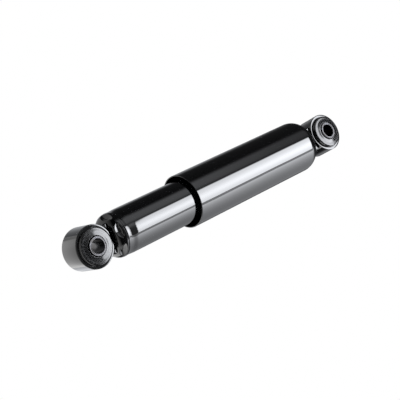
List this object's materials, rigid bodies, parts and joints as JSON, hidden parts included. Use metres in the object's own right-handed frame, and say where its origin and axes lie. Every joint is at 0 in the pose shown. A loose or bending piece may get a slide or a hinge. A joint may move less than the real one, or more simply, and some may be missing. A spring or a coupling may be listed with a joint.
{
  "type": "shock absorber",
  "caption": "Black twin-tube telescopic shock absorber with a rubber-bushed eye at each end and a dust cover that slides over the reservoir tube.",
  "frame": {"origin": "centre of the lower eye's bore, in the middle of its sleeve", "axes": "+Z along the damper towards the upper eye; Y along the lower bore; the pictured side faces -Y"},
  "size_m": [0.08, 0.08, 0.545],
  "materials": {
    "black_paint": "gloss black enamel",
    "weld_paint": "gloss black enamel over weld ripples",
    "bush_rubber": "smooth moulded rubber",
    "sleeve_steel": "turned, lightly oiled",
    "tube_steel": "drawn and honed",
    "sintered_iron": "sintered, oiled",
    "spring_steel": "blued",
    "fastener_steel": "phosphated",
    "rod_chrome": "hard chrome, ground",
    "bush_bronze": "sintered bronze lining",
    "band_plastic": "filled fluoropolymer",
    "seal_rubber": "nitrile",
    "bumper_plastic": "moulded nylon"
  },
  "bodies": {
    "lower_pin_sleeve": {"lower_sleeve": "sleeve_steel"},
    "reservoir_assembly": {"lower_bush_rubber": "bush_rubber", "lower_eye_ring": "black_paint", "lower_eye_weld": "weld_paint", "base_cap": "black_paint", "base_weld": "weld_paint", "reservoir_tube": "black_paint", "pressure_tube": "tube_steel", "foot_valve_body": "sintered_iron", "foot_valve_bolt": "fastener_steel", "foot_valve_nut": "fastener_steel", "compression_shims": "spring_steel", "intake_spring": "spring_steel", "rod_guide": "sintered_iron", "guide_bush": "bush_bronze", "guide_o_ring": "seal_rubber", "rod_seal": "seal_rubber", "seal_garter_spring": "spring_steel", "closing_plate": "fastener_steel"},
    "intake_valve": {"intake_disc": "spring_steel"},
    "piston_band": {"piston_ring": "band_plastic"},
    "rod_assembly": {"piston_rod": "rod_chrome", "piston": "sintered_iron", "piston_nut": "fastener_steel", "backing_washer": "fastener_steel", "rebound_shims": "spring_steel", "check_spring": "spring_steel", "stop_washer": "fastener_steel", "rebound_bumper": "bumper_plastic", "head_plate": "fastener_steel", "dust_cover": "black_paint", "upper_eye_weld": "weld_paint", "upper_eye_ring": "black_paint", "upper_bush_rubber": "bush_rubber"},
    "check_valve": {"check_plate": "spring_steel"},
    "upper_pin_sleeve": {"upper_sleeve": "sleeve_steel"}
  },
  "joints": [
    {"name": "lower_bush_twist", "type": "hinge", "parent": "lower_pin_sleeve", "child": "reservoir_assembly", "pos_m": [0, 0, 0], "axis": [0, 1, 0], "range_deg": [-15, 15], "stiffness_Nm_per_rad": 90},
    {"name": "intake_lift", "type": "slide", "parent": "reservoir_assembly", "child": "intake_valve", "axis": [0, 0, 1], "range_m": [0, 0.0008], "stiffness_N_per_m": 300, "springref_m": -0.002, "deforming": ["intake_spring"]},
    {"name": "rod_slide", "type": "slide", "parent": "reservoir_assembly", "child": "piston_band", "axis": [0, 0, 1], "range_m": [-0.1, 0.1]},
    {"name": "rod_swivel", "type": "hinge", "parent": "piston_band", "child": "rod_assembly", "pos_m": [0, 0, 0.3], "axis": [0, 0, 1], "continuous": true},
    {"name": "check_lift", "type": "slide", "parent": "rod_assembly", "child": "check_valve", "axis": [0, 0, 1], "range_m": [0, 0.0008], "stiffness_N_per_m": 300, "springref_m": -0.002, "deforming": ["check_spring"]},
    {"name": "upper_bush_twist", "type": "hinge", "parent": "rod_assembly", "child": "upper_pin_sleeve", "pos_m": [0, 0, 0.485], "axis": [0.1908, 0.9816, 0], "range_deg": [-15, 15], "stiffness_Nm_per_rad": 90}
  ]
}
